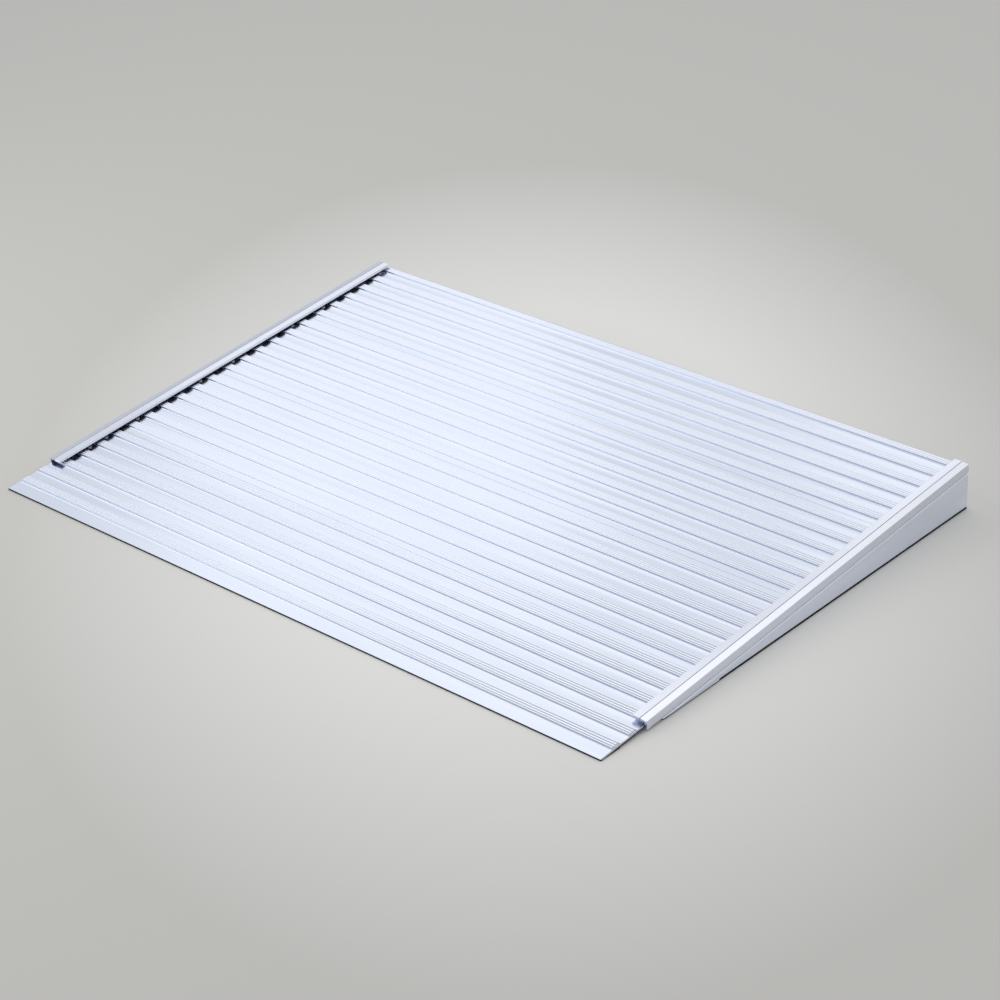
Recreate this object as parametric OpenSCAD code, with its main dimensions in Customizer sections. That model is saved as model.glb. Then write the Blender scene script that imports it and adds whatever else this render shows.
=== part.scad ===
// Free-standing aluminium threshold ramp with a ribbed plank deck.
// X runs across the ramp, +Y goes up the slope towards the door sill, +Z is up.
// The origin is on the ground, under the middle of the ramp's outline.
// Deck measures: u is the distance up the slope, v the height square to the plank floor.

/* [Deck] */
// Width of the deck, which is the length of the planks
deck_w = 863.6; // [600:0.1:1200]
// Slope of the deck in degrees
slope = 4.5; // [4.2:0.1:6]
// Height of the low edge's top above the ground
nose_h = 2.2; // [2:0.1:2.6]
// Thickness of a plank's floor between its ribs
floor_t = 3; // [2.6:0.1:3.6]
// Bevel on the top of the low edge
nose_bevel = 0.4; // [0.1:0.1:0.6]

/* [Ribs] */
// Number of ribs on each plank
ribs = 6; // [5:1:7]
// Distance from one rib to the next
rib_pitch = 25; // [22:0.1:28]
// Width of a rib across its foot
rib_w = 10.8; // [10.5:0.1:13]
// Height of a rib above the floor
rib_h = 1.8; // [1.4:0.1:2.4]
// How far a rib's faces lean in at the top
rib_lean = 0.25; // [0:0.05:0.5]
// Number of fine grooves along a rib's top
grooves = 3; // [1:1:3]
// Distance from one groove to the next
groove_pitch = 3.3; // [2.4:0.1:3.4]
// Distance from the rib's low face to the first groove
groove_lead = 2.4; // [2:0.1:2.8]
// Width of a groove at the rib's top
groove_w = 1.3; // [0.6:0.1:1.6]
// Depth of a groove
groove_d = 0.7; // [0.3:0.1:1]

/* [Planks] */
// Flat from the low edge to the nose plank's first rib
nose_lead = 18; // [12:0.1:24]
// Flat after the nose plank's last rib
nose_tail = 3.7; // [1:0.1:8]
// Flat from a joint to the next plank's first rib
plank_lead = 9.4; // [9:0.1:14]
// Flat after a plank's last rib
plank_tail = 8.2; // [2:0.1:12]
// Width of the rib along the deck's high edge
end_w = 10.9; // [10:0.1:12]
// Radius of the deck's high edge
end_r = 2.4; // [1:0.1:3]
// Width of the bevel on the nose plank's ends
end_bevel_w = 2; // [1:0.1:3]
// Depth of the bevel on the nose plank's ends, from the rib tops
end_bevel_d = 2.6; // [2:0.1:2.8]
// Thickness left above the rubber along the nose plank's ends
edge_t = 1.3; // [1.2:0.1:1.6]
// Width of the lap under a plank joint
lap_w = 8; // [6:0.1:8.4]
// Thickness of the upper half of the lap
lip_t = 1.7; // [1.5:0.1:2]
// Width of the hook on the lap
hook_w = 2; // [1.5:0.1:3]
// Height of the hook on the lap
hook_h = 0.6; // [0.3:0.1:0.7]
// Clearance round the hook
hook_clear = 0.15; // [0.05:0.05:0.3]
// Open line between two planks
joint_gap = 0.2; // [0.1:0.1:0.6]

/* [Plank webs] */
// Number of stiffening webs under a plank
webs = 3; // [2:1:4]
// Thickness of a web
web_t = 2.4; // [1.8:0.1:3]
// Depth of a web below the floor
web_d = 7; // [6:0.1:8]
// Width of the foot on a web
foot_w = 12; // [11:0.1:14]
// Thickness of the foot on a web
foot_t = 2.2; // [1.8:0.1:2.6]
// Distance from a joint to the first web
web_lead = 14; // [13:0.1:18]
// Distance from the last web to the next joint
web_tail = 11.4; // [9:0.1:14]
// Length that the webs are cut back at a plank's end
web_cut = 30; // [28:0.5:50]
// Distance from the nose plank's heel to its joint
heel_back = 10.6; // [8:0.1:16]
// Depth of the top plank's apron below the floor's top
apron_d = 17; // [15:0.5:22]

/* [Edge trims] */
// How far the trim stands out past the plank ends
trim_over = 3; // [2.6:0.1:4]
// Width of the trim's top
trim_w = 18.6; // [17:0.1:22]
// Gap between the rib tops and the trim's top wall
trim_gap = 1.9; // [1.5:0.1:2.4]
// Width of the band that slopes down to the trim's outer edge
band_w = 7.8; // [6:0.1:9]
// How far that band drops to the trim's outer edge
band_d = 1.2; // [0.6:0.1:1.6]
// Width of the fine groove beside that band
line_w = 0.9; // [0.5:0.1:1.2]
// Depth of the fine groove beside that band
line_d = 0.7; // [0.3:0.1:0.9]
// Radius of the trim's lower outer edge
trim_r = 1; // [0.4:0.1:1.6]
// Thickness of the trim's walls
trim_t = 2.2; // [1.8:0.1:2.4]
// Width of the step along the trim's inner edge
step_w = 1.3; // [0.8:0.1:2]
// Depth of the step along the trim's inner edge
step_d = 1; // [0.5:0.1:1.3]
// Width of the trim's lower flange
trim_low_w = 27; // [25:0.1:29]
// Height of the trim's low end above the ground
trim_clear = 2.1; // [1.6:0.1:2.6]
// Distance from the trim's high end to the deck's high edge
trim_back = 2; // [1.5:0.1:5]

/* [Side panels] */
// Thickness of the panel sheet
panel_t = 2; // [1.5:0.1:2.5]
// How far the panel stands in from the trim's outer face
panel_recess = 0; // [0:0.1:1]
// Width of the panel's folded flanges
flange_w = 22; // [20:0.1:24]
// Outer radius of the panel's upper and lower bends
bend_r = 2.8; // [2.6:0.1:3.1]
// Outer radius of the panel's upright rear bend
rear_bend_r = 3.5; // [3.3:0.1:4]
// Height of the panel at its low tip
tip_h = 1.2; // [0.8:0.1:2]
// Clear height inside the panel where its lower flange starts
mouth_h = 4; // [3:0.1:8]

/* [Stringers and rear beam] */
// Distance of the outer stringers from the middle of the ramp
stringer_x = 216; // [150:1:260]
// Width of a stringer's top flange
stringer_w = 28; // [26:0.5:36]
// Thickness of a stringer's flange and web
stringer_t = 2.5; // [2:0.1:3]
// Height of a stringer's web at its low end
stringer_tip = 1.8; // [1:0.1:3]
// Gap from a stringer's flange to the rear beam
stringer_back = 7; // [4:0.5:12]
// Thickness of the rear beam's sheet
beam_t = 2.5; // [2:0.1:3]
// Width of the rear beam's lower flange
beam_w = 18; // [14:0.5:24]
// Play between the rear beam and the parts at its ends
beam_play = 1.2; // [0.5:0.1:2]
// Width of the angle clips
clip_w = 18; // [16:0.5:24]
// Thickness of the angle clips
clip_t = 2; // [1.5:0.1:3]
// Height of the angle clips
clip_h = 22; // [20:0.5:24]
// Height of the clips' lower end above the ground
clip_z = 8; // [6:0.5:9]

/* [Rubber] */
// Thickness of the rubber under the ramp
sole_t = 2; // [1.5:0.1:2.5]
// Thickness of the rubber strip under the low edge
strip_t = 1.4; // [1:0.1:1.6]
// How far that strip stands in from the low edge and the plank ends
strip_in = 0.1; // [0.1:0.1:1]
// Width of the rubber along the nose plank's ends
end_strip_w = 5; // [3:0.1:8]
// Thickness of the rubber seal between trim and panel
seal_t = 0.8; // [0.5:0.1:1.2]
// How far that seal stands in from the panel's face
seal_in = 0.6; // [0.3:0.1:1.5]
// How far a rubber strip stands in from the metal's edge
sole_in = 1; // [0.5:0.1:1.5]
// Thickness of the rubber beside a stringer's web
edging_t = 2; // [1.5:0.1:3]
// Height of the rubber edging on a stringer
edging_h = 6; // [4:0.1:7]

/* [Rivets] */
// Radius of the large rivets
rivet_r = 2; // [1.6:0.1:2.2]
// Radius of a large rivet's head
head_r = 3.6; // [3:0.1:3.8]
// Thickness of a large rivet's head
head_t = 1.3; // [0.8:0.1:1.3]
// Radius of a large rivet's closed end
tail_r = 3; // [2.6:0.1:3.2]
// How far the edge of a rivet's head slopes in
head_bevel = 0.7; // [0.3:0.1:0.8]
// Radius of the clip rivets
clip_rivet_r = 1.6; // [1.2:0.1:2]
// Radius of a clip rivet's head
clip_head_r = 2.8; // [2.4:0.1:3]
// Thickness of a clip rivet's head
clip_head_t = 1; // [0.6:0.1:1.2]
// Clearance round a rivet in its hole
rivet_clear = 0.05; // [0.02:0.01:0.1]
// Distance of the edge rivets from the plank ends
edge_rivet_in = 12; // [10:0.1:13]
// Distance of the stringer rivets from the stringer's web
stringer_rivet_x = 8; // [7.5:0.1:9]
// Distance of the inner apron rivets from the middle of the ramp
apron_rivet_x = 108; // [60:1:120]
// Distance from the apron's lower edge to its rivets
apron_rivet_up = 6; // [5:0.1:8]
// Distance from a corner rivet to the side of the beam's tab
corner_rivet_in = 12; // [8:0.5:14]
// Distance from a corner rivet to the top or bottom of the beam's tab
corner_rivet_end = 9; // [6:0.5:10]
// Distance from a clip rivet to the clip's bend
clip_rivet_in = 11; // [9:0.1:13]
// Distance from a clip rivet to the clip's end
clip_rivet_end = 5.5; // [4:0.1:7]

/* [Hidden] */
$fn = 48;
far = 2000;
// How far a cut runs past the face that it starts from
over = 1;

deck_colour = "#dfe6f5";
trim_colour = "#e6eaf4";
panel_colour = "#b9bccd";
frame_colour = "#c3c7cf";
rubber_colour = "#232325";
rivet_colour = "#aeb2b9";

// Deck lengths, all along the slope
rib_span = (ribs - 1) * rib_pitch + rib_w;
nose_cover = nose_lead + rib_span + nose_tail;
plank_cover = plank_lead + rib_span + plank_tail;
top_cover = plank_lead + (ribs - 1) * rib_pitch + end_w;
joints = [for (i = [0:2]) nose_cover + i * plank_cover];
deck_len = joints[2] + top_cover;
run = deck_len * cos(slope);

// Levels square to the deck
foot_v = -floor_t - web_d;
trim_v = -floor_t - trim_t;
panel_v = trim_v - seal_t;
stringer_v = foot_v - stringer_t;

// Height above the ground of a deck point, and its distance from the low edge
function height(u, v) = nose_h + u * sin(slope) + v * cos(slope);
function ahead(u, v) = u * cos(slope) - v * sin(slope);
// Level v of a height z at u, and the u at which a level v is at a height z
function level(u, z) = (z - nose_h - u * sin(slope)) / cos(slope);
function reach(z, v) = (z - nose_h - v * cos(slope)) / sin(slope);
// Height of a level v at a distance y from the low edge
function deck_z(y, v) = height((y + v * sin(slope)) / cos(slope), v);
function between(list, low, high) = [for (u = list) if (u > low && u < high) u];

// Places across the ramp, right side
trim_x = deck_w / 2 + trim_over;
panel_x = trim_x - panel_recess;
web_x = deck_w / 2 - web_cut;
trim_low_x = trim_x - trim_low_w;
beam_x = trim_low_x - beam_play;
tab_x = panel_x - panel_t - beam_play;
edge_rivet_x = deck_w / 2 - edge_rivet_in;
stringers = [-stringer_x, 0, stringer_x];

// Places along the ramp
trim_u = reach(trim_clear, trim_v);
trim_end = deck_len - trim_back;
tip_u = reach(sole_t + tip_h, panel_v);
flange_u = reach(sole_t, panel_v - panel_t);
mouth_u = reach(sole_t + 2 * panel_t + mouth_h, panel_v);
stringer_u = reach(sole_t + stringer_tip, stringer_v);
apron_y = run - panel_t;
beam_y = apron_y - beam_t;
stringer_end = (beam_y - stringer_back) / cos(slope);
heel_u = nose_cover - heel_back;
strip_u = reach(strip_t, -floor_t);
end_strip_u = trim_u - strip_in;
mouth_y = ahead(mouth_u, level(mouth_u, sole_t));
edging_y = ahead(reach(edging_h + beam_play, stringer_v), 0);
edging_end = beam_y - beam_w - 2 * beam_play;
tab_low = sole_t + panel_t + beam_play;
tab_high = deck_z(beam_y, panel_v - panel_t) - beam_play;

// Rivets: edge rivets sit in the valleys between ribs, stringer rivets in the feet of the webs
rib_starts = [nose_lead, for (j = joints) j + plank_lead];
function valley(start, i) = start + i * rib_pitch + (rib_w + rib_pitch) / 2;
edge_valleys = [
    for (i = [ribs - 3, ribs - 2]) valley(rib_starts[0], i),
    for (k = [1:3], i = [0, ribs - 2]) valley(rib_starts[k], i)];
edge_us = between(edge_valleys, flange_u + head_r, deck_len);
function web_u(i) = web_lead + i * (plank_cover - web_lead - web_tail) / (webs - 1);
foot_centres = [
    for (k = [0, 1], i = [0:webs - 1]) joints[k] + web_u(i) - foot_w / 2,
    for (i = [0:webs - 2]) joints[2] + web_u(i) - foot_w / 2];
stringer_us = between(foot_centres, stringer_u + head_r, stringer_end - head_r);
apron_xs = [for (x = [apron_rivet_x, apron_rivet_x + stringer_x], s = [-1, 1]) s * x];
apron_z = deck_z(run, -apron_d) + apron_rivet_up;
corner_x = tab_x - corner_rivet_in;
corner_zs = [tab_low + corner_rivet_end, tab_high - corner_rivet_end];
clip_zs = [clip_z + clip_rivet_end, clip_z + clip_h - clip_rivet_end];

// Frames: on_ground measures Y from the low edge, on_deck lies on the sloped floor
module on_ground() {
    translate([0, -run / 2, 0]) children();
}

module on_deck() {
    translate([0, -run / 2, nose_h]) rotate([slope, 0, 0]) children();
}

// A profile of (u, v) or (y, z) drawn across the ramp, centred
module across(w) {
    rotate([90, 0, 90]) linear_extrude(w, center = true) children();
}

// A profile of (x, v) or (x, z) drawn up the ramp
module along(from, to) {
    translate([0, to, 0]) rotate([90, 0, 0]) linear_extrude(to - from) children();
}

module mirrored(side) {
    mirror([side < 0 ? 1 : 0, 0, 0]) children();
}

// What a corner loses when it is rounded, for a corner that points to +x and +y
module corner_cut(r) {
    translate([-r, -r]) difference() {
        square(r + over);
        circle(r);
    }
}

// Rivet along +Z: head below z = 0, closed end above z = grip
module rivet(grip, r, cap_r, cap_t, end_r, end_t) {
    translate([0, 0, -cap_t]) cylinder(cap_t, cap_r - head_bevel, cap_r);
    cylinder(grip, r, r);
    if (end_t > 0) translate([0, 0, grip]) cylinder(end_t, end_r, end_r - head_bevel);
}

module rivet_hole(low, high, r) {
    translate([0, 0, low - over]) cylinder(high - low + 2 * over, r + rivet_clear, r + rivet_clear);
}

// Turns +Z of its children to +Y, to -Y or to +X
module facing_rear() {
    rotate([-90, 0, 0]) children();
}

module facing_front() {
    rotate([90, 0, 0]) children();
}

module facing_right() {
    rotate([0, 90, 0]) children();
}

// Top outline of one rib, from its low face to its last groove
function rib_front(a, count) = concat(
    [[a, 0], [a + rib_lean, rib_h]],
    [for (i = [0:count - 1], p = [[-0.5, 0], [0, 1], [0.5, 0]])
        [a + groove_lead + i * groove_pitch + p[0] * groove_w, rib_h - p[1] * groove_d]]);
function rib_back(a) = [[a + rib_w - rib_lean, rib_h], [a + rib_w, 0]];
function rib(a) = concat(rib_front(a, grooves), rib_back(a));
function rib_row(start, count) = [for (i = [0:count - 1], p = rib(start + i * rib_pitch)) p];

// The hooked ledge on a plank's high side, and the grooved lip that covers it
function ledge(u) = [
    [u, 0], [u, -lip_t], [u + lap_w - hook_w, -lip_t], [u + lap_w - hook_w, hook_h - lip_t],
    [u + lap_w, hook_h - lip_t], [u + lap_w, -floor_t]];
lip = [
    [lap_w + hook_clear, -floor_t], [lap_w + hook_clear, hook_h + hook_clear - lip_t],
    [lap_w - hook_w - hook_clear, hook_h + hook_clear - lip_t], [lap_w - hook_w - hook_clear, -lip_t],
    [joint_gap, -lip_t], [joint_gap, 0]];

// Web with a foot that points down the slope
module web_profile(u) {
    polygon([
        [u - web_t, -floor_t / 2], [u, -floor_t / 2], [u, foot_v], [u - foot_w, foot_v],
        [u - foot_w, foot_v + foot_t], [u - web_t, foot_v + foot_t]]);
}

// Heel leg whose foot lies level on the rubber strip
module heel_profile() {
    low = heel_u - foot_w;
    neck = heel_u - web_t;
    polygon([
        [neck, -floor_t / 2], [heel_u, -floor_t / 2], [heel_u, level(heel_u, sole_t)],
        [low, level(low, sole_t)], [low, level(low, sole_t + foot_t)],
        [neck, level(neck, sole_t + foot_t)]]);
}

module edge_holes(low, high) {
    for (u = between(edge_us, low, high), s = [-1, 1])
        translate([s * edge_rivet_x, u, 0]) rivet_hole(panel_v - panel_t, 0, rivet_r);
}

module stringer_holes(low, high) {
    for (u = between(stringer_us, low, high), x = stringers, s = [-1, 1])
        translate([x + s * stringer_rivet_x, u, 0]) rivet_hole(stringer_v, foot_v + foot_t, rivet_r);
}

// Side outline of the rubber under the nose plank's ends, above the strip on the ground
end_strip = [
    [strip_u, -floor_t], [end_strip_u, -floor_t],
    [end_strip_u, -edge_t], [reach(strip_t, -edge_t), -edge_t]];

// What the bevel takes off the nose plank's end
module end_bevel_profile() {
    x = deck_w / 2;
    polygon([
        [x - end_bevel_w, rib_h], [x, rib_h - end_bevel_d], [x + over, rib_h - end_bevel_d],
        [x + over, rib_h + over], [x - end_bevel_w, rib_h + over]]);
}

module nose_plank() {
    color(deck_colour) on_deck() difference() {
        union() {
            across(deck_w) polygon(concat(
                [[0, -nose_bevel], [nose_bevel, 0]], rib_row(nose_lead, ribs), ledge(nose_cover),
                [[strip_u, -floor_t], [0, level(0, strip_t)]]));
            across(2 * web_x) heel_profile();
        }
        edge_holes(0, nose_cover);
        for (s = [-1, 1]) {
            mirrored(s) along(-over, nose_cover + lap_w + over) end_bevel_profile();
            translate([s * deck_w / 2, 0, 0]) across(2 * end_strip_w) polygon(end_strip);
        }
    }
}

// A plank between two joints
module middle_plank(k) {
    color(deck_colour) on_deck() difference() {
        translate([0, joints[k], 0]) {
            across(deck_w) polygon(concat(rib_row(plank_lead, ribs), ledge(plank_cover), lip));
            for (i = [0:webs - 1]) across(2 * web_x) web_profile(web_u(i));
        }
        edge_holes(joints[k], joints[k + 1]);
        stringer_holes(joints[k], joints[k + 1]);
    }
}

module lower_plank() {
    middle_plank(0);
}

module upper_plank() {
    middle_plank(1);
}

// The top plank ends in a rounded edge, with an upright apron below it
module top_plank() {
    last = plank_lead + (ribs - 1) * rib_pitch;
    end_grooves = floor((end_w - end_r - groove_lead - groove_w / 2) / groove_pitch) + 1;
    function end_u(v) = top_cover + v * tan(slope);
    brow_u = end_u(rib_h - end_r);
    apron_u = panel_t / cos(slope);
    color(deck_colour) on_deck() difference() {
        translate([0, joints[2], 0]) {
            across(deck_w) difference() {
                polygon(concat(
                    rib_row(plank_lead, ribs - 1), rib_front(last, end_grooves),
                    [[brow_u, rib_h], [brow_u, rib_h - end_r], [end_u(-floor_t), -floor_t]], lip));
                translate([brow_u, rib_h]) corner_cut(end_r);
            }
            across(2 * web_x) polygon([
                [end_u(-floor_t / 2), -floor_t / 2], [end_u(-apron_d), -apron_d],
                [end_u(-apron_d) - apron_u, -apron_d], [end_u(-floor_t / 2) - apron_u, -floor_t / 2]]);
            for (i = [0:webs - 2]) across(2 * web_x) web_profile(web_u(i));
        }
        edge_holes(joints[2], deck_len);
        stringer_holes(joints[2], deck_len);
        on_apron_holes();
    }
}

// Holes through the apron, from the deck's own frame
module on_apron_holes() {
    rotate([-slope, 0, 0]) translate([0, 0, -nose_h]) apron_holes();
}

module apron_holes() {
    for (x = apron_xs)
        translate([x, run, apron_z]) facing_front() rivet_hole(0, panel_t + beam_t, rivet_r);
}

// Channel round the plank ends: sloped outer band, stepped inner edge, outer leg and lower flange
module trim_profile() {
    wall_v = rib_h + trim_gap;
    flat_v = wall_v + trim_t;
    in_x = trim_x - trim_w;
    band_x = trim_x - band_w;
    difference() {
        polygon([
            [in_x, wall_v], [in_x, flat_v - step_d], [in_x + step_w, flat_v - step_d],
            [in_x + step_w, flat_v], [band_x - line_w, flat_v], [band_x - line_w / 2, flat_v - line_d],
            [band_x, flat_v], [trim_x, flat_v - band_d], [trim_x, trim_v], [trim_low_x, trim_v],
            [trim_low_x, -floor_t], [trim_x - trim_t, -floor_t], [trim_x - trim_t, wall_v]]);
        translate([trim_x, trim_v]) mirror([0, 1, 0]) corner_cut(trim_r);
    }
}

module edge_trim(side) {
    color(trim_colour) on_deck() difference() {
        mirrored(side) along(trim_u, trim_end) trim_profile();
        edge_holes(0, deck_len);
    }
}

module left_edge_trim() {
    edge_trim(-1);
}

module right_edge_trim() {
    edge_trim(1);
}

// Block with the outside of the side panel, or of the hollow inside it, set in by the sheet
module panel_block(inset, width) {
    x = panel_x - inset;
    intersection() {
        on_deck() along(0, deck_len + far) difference() {
            translate([panel_x - width, -far]) square([width - inset, far + panel_v - inset]);
            translate([x, panel_v - inset]) corner_cut(bend_r - inset);
        }
        on_ground() along(0, run + far)
            translate([panel_x - width, sole_t + inset]) square([width - inset, far]);
        on_ground() linear_extrude(far, center = true) difference() {
            translate([panel_x - width, ahead(tip_u, panel_v)])
                square([width - inset, run - inset - ahead(tip_u, panel_v)]);
            translate([x, run - inset]) corner_cut(rear_bend_r - inset);
        }
    }
}

// Folded side panel, open inwards, with no lower flange near its low tip
module side_panel(side) {
    color(panel_colour) mirrored(side) difference() {
        panel_block(0, flange_w);
        panel_block(panel_t, flange_w + over);
        on_deck() translate([panel_x - far - panel_t, -far, panel_v - panel_t - far])
            cube([far, far + mouth_u, far]);
        on_ground() along(mouth_y, run + far)
            translate([panel_x, sole_t]) mirror([0, 1, 0]) corner_cut(bend_r);
        on_deck() edge_holes(0, deck_len);
        on_ground() corner_holes();
    }
}

module left_side_panel() {
    side_panel(-1);
}

module right_side_panel() {
    side_panel(1);
}

module corner_holes() {
    for (z = corner_zs, s = [-1, 1])
        translate([s * corner_x, run, z]) facing_front() rivet_hole(0, panel_t + beam_t, rivet_r);
}

// T-bar cut to a wedge, coped over the rear beam's flange
module stringer(x) {
    color(frame_colour) difference() {
        intersection() {
            on_deck() translate([x, 0, 0]) union() {
                along(stringer_u, stringer_end)
                    translate([-stringer_w / 2, stringer_v]) square([stringer_w, stringer_t]);
                along(stringer_u, deck_len)
                    translate([-stringer_t / 2, stringer_v - far])
                        square([stringer_t, far + stringer_t / 2]);
            }
            on_ground() translate([-far / 2, 0, sole_t]) cube([far, beam_y, far]);
        }
        on_deck() stringer_holes(0, deck_len);
        on_ground() translate([x - far / 2, beam_y - beam_w - beam_play, 0])
            cube([far, far, sole_t + beam_t + beam_play]);
        on_ground() web_holes(x);
    }
}

module left_stringer() {
    stringer(-stringer_x);
}

module centre_stringer() {
    stringer(0);
}

module right_stringer() {
    stringer(stringer_x);
}

// Places of the rivets through a stringer's web and its two clips
module at_web_rivets(x) {
    for (z = clip_zs) translate([x, beam_y - clip_rivet_in, z]) facing_right() children();
}

module web_holes(x) {
    at_web_rivets(x) rivet_hole(-stringer_t / 2 - clip_t, stringer_t / 2 + clip_t, clip_rivet_r);
}

// Places of the rivets through the clips and the rear beam
module at_beam_rivets(x) {
    for (z = clip_zs, s = [-1, 1])
        translate([x + s * (stringer_t / 2 + clip_rivet_in), beam_y, z]) facing_front() children();
}

module beam_holes(x) {
    at_beam_rivets(x) rivet_hole(-beam_t, clip_t, clip_rivet_r);
}

// Folded angle across the high end, with narrower tabs inside the side panels
module rear_beam() {
    color(frame_colour) difference() {
        union() {
            intersection() {
                on_ground() along(beam_y, apron_y)
                    translate([-beam_x, sole_t]) square([2 * beam_x, far]);
                on_deck() translate([-far / 2, -far / 2, -far - floor_t]) cube(far);
            }
            on_ground() along(beam_y, apron_y)
                translate([-tab_x, tab_low]) square([2 * tab_x, tab_high - tab_low]);
            on_ground() along(beam_y - beam_w, apron_y)
                translate([-beam_x, sole_t]) square([2 * beam_x, beam_t]);
        }
        on_ground() {
            apron_holes();
            corner_holes();
            for (x = stringers) beam_holes(x);
        }
    }
}

// Two angle clips, one on each side of a stringer's web
module clips(x) {
    color(frame_colour) on_ground() difference() {
        for (s = [-1, 1])
            translate([x, beam_y, clip_z]) mirrored(s) linear_extrude(clip_h) polygon([
                [stringer_t / 2, 0], [stringer_t / 2 + clip_w, 0],
                [stringer_t / 2 + clip_w, -clip_t], [stringer_t / 2 + clip_t, -clip_t],
                [stringer_t / 2 + clip_t, -clip_w], [stringer_t / 2, -clip_w]]);
        web_holes(x);
        beam_holes(x);
    }
}

module left_clips() {
    clips(-stringer_x);
}

module centre_clips() {
    clips(0);
}

module right_clips() {
    clips(stringer_x);
}

// Rubber strips and edgings, all flat on the ground
module nose_strip() {
    low_y = ahead(0, level(0, strip_t)) + strip_in;
    high_y = ahead(strip_u, -floor_t) - strip_in;
    base = [[low_y, strip_t], [low_y, 0], [high_y, 0], [high_y, strip_t]];
    rise = [for (p = end_strip) [ahead(p[0], p[1]), height(p[0], p[1])]];
    color(rubber_colour) on_ground() union() {
        across(deck_w - 2 * strip_in) polygon(base);
        for (s = [-1, 1]) translate([s * (deck_w - end_strip_w - strip_in) / 2, 0, 0])
            across(end_strip_w - strip_in) polygon(concat(base, rise));
    }
}

module heel_strip() {
    low = heel_u - foot_w;
    low_y = ahead(low, level(low, sole_t)) + sole_in;
    high_y = ahead(heel_u, level(heel_u, sole_t)) - sole_in;
    color(rubber_colour) on_ground() translate([-web_x + sole_in, low_y, 0])
        cube([2 * (web_x - sole_in), high_y - low_y, sole_t]);
}

// Seal between the trim and the panel's top flange
module panel_seal(side) {
    in_x = panel_x - flange_w + sole_in;
    color(rubber_colour) on_deck() difference() {
        mirrored(side) along(tip_u + sole_in, trim_end - sole_in)
            translate([in_x, panel_v]) square([panel_x - seal_in - in_x, seal_t]);
        edge_holes(0, deck_len);
    }
}

module left_panel_seal() {
    panel_seal(-1);
}

module right_panel_seal() {
    panel_seal(1);
}

// The strip narrows to the sheet's own width where the panel has no lower flange
module panel_sole(side) {
    tip_y = ahead(tip_u, panel_v) + sole_in;
    wide_y = mouth_y + sole_in;
    out_x = panel_x - sole_in;
    in_x = panel_x - flange_w + sole_in;
    color(rubber_colour) mirrored(side) on_ground() linear_extrude(sole_t) polygon([
        [out_x, tip_y], [out_x, run - sole_in], [in_x, run - sole_in], [in_x, wide_y],
        [panel_x - panel_t, wide_y], [panel_x - panel_t, tip_y]]);
}

module left_panel_sole() {
    panel_sole(-1);
}

module right_panel_sole() {
    panel_sole(1);
}

// Channel of rubber pushed on to the lower edge of a stringer
module stringer_sole(x) {
    color(rubber_colour) on_ground() along(edging_y, edging_end) translate([x, 0]) difference() {
        translate([-stringer_t / 2 - edging_t, 0]) square([stringer_t + 2 * edging_t, edging_h]);
        translate([-stringer_t / 2, sole_t]) square([stringer_t, edging_h]);
    }
}

module left_stringer_sole() {
    stringer_sole(-stringer_x);
}

module centre_stringer_sole() {
    stringer_sole(0);
}

module right_stringer_sole() {
    stringer_sole(stringer_x);
}

module rear_sole() {
    color(rubber_colour) on_ground() translate([-beam_x + sole_in, beam_y - beam_w + sole_in, 0])
        cube([2 * (beam_x - sole_in), beam_w + beam_t - 2 * sole_in, sole_t]);
}

// Rivets from below through panel, seal, trim and plank, with their closed ends in the valleys
module edge_rivets(side) {
    grip = floor_t + trim_t + seal_t + panel_t;
    color(rivet_colour) on_deck() for (u = edge_us)
        translate([side * edge_rivet_x, u, -grip]) rivet(grip, rivet_r, head_r, head_t, tail_r, head_t);
}

module left_edge_rivets() {
    edge_rivets(-1);
}

module right_edge_rivets() {
    edge_rivets(1);
}

// Rivets from below through a stringer's flange and the planks' feet
module stringer_rivets(x) {
    color(rivet_colour) on_deck() for (u = stringer_us, s = [-1, 1])
        translate([x + s * stringer_rivet_x, u, stringer_v])
            rivet(stringer_t + foot_t, rivet_r, head_r, head_t, tail_r, head_t);
}

module left_stringer_rivets() {
    stringer_rivets(-stringer_x);
}

module centre_stringer_rivets() {
    stringer_rivets(0);
}

module right_stringer_rivets() {
    stringer_rivets(stringer_x);
}

// Rivets that end flush with the high end's rear face
module apron_rivets() {
    color(rivet_colour) on_ground() for (x = apron_xs)
        translate([x, beam_y, apron_z]) facing_rear()
            rivet(beam_t + panel_t, rivet_r, head_r, head_t, tail_r, 0);
}

module corner_rivets(side) {
    color(rivet_colour) on_ground() for (z = corner_zs)
        translate([side * corner_x, beam_y, z]) facing_rear()
            rivet(beam_t + panel_t, rivet_r, head_r, head_t, tail_r, 0);
}

module left_corner_rivets() {
    corner_rivets(-1);
}

module right_corner_rivets() {
    corner_rivets(1);
}

module clip_rivets() {
    color(rivet_colour) on_ground() for (x = stringers) {
        at_web_rivets(x) translate([0, 0, -stringer_t / 2 - clip_t])
            rivet(stringer_t + 2 * clip_t, clip_rivet_r, clip_head_r, clip_head_t, clip_head_r, clip_head_t);
        at_beam_rivets(x) translate([0, 0, -beam_t])
            rivet(beam_t + clip_t, clip_rivet_r, clip_head_r, clip_head_t, clip_head_r, clip_head_t);
    }
}

nose_plank();
lower_plank();
upper_plank();
top_plank();
left_edge_trim();
right_edge_trim();
left_side_panel();
right_side_panel();
left_stringer();
centre_stringer();
right_stringer();
rear_beam();
left_clips();
centre_clips();
right_clips();
nose_strip();
heel_strip();
left_panel_seal();
right_panel_seal();
left_panel_sole();
right_panel_sole();
left_stringer_sole();
centre_stringer_sole();
right_stringer_sole();
rear_sole();
left_edge_rivets();
right_edge_rivets();
left_stringer_rivets();
centre_stringer_rivets();
right_stringer_rivets();
apron_rivets();
left_corner_rivets();
right_corner_rivets();
clip_rivets();
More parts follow.
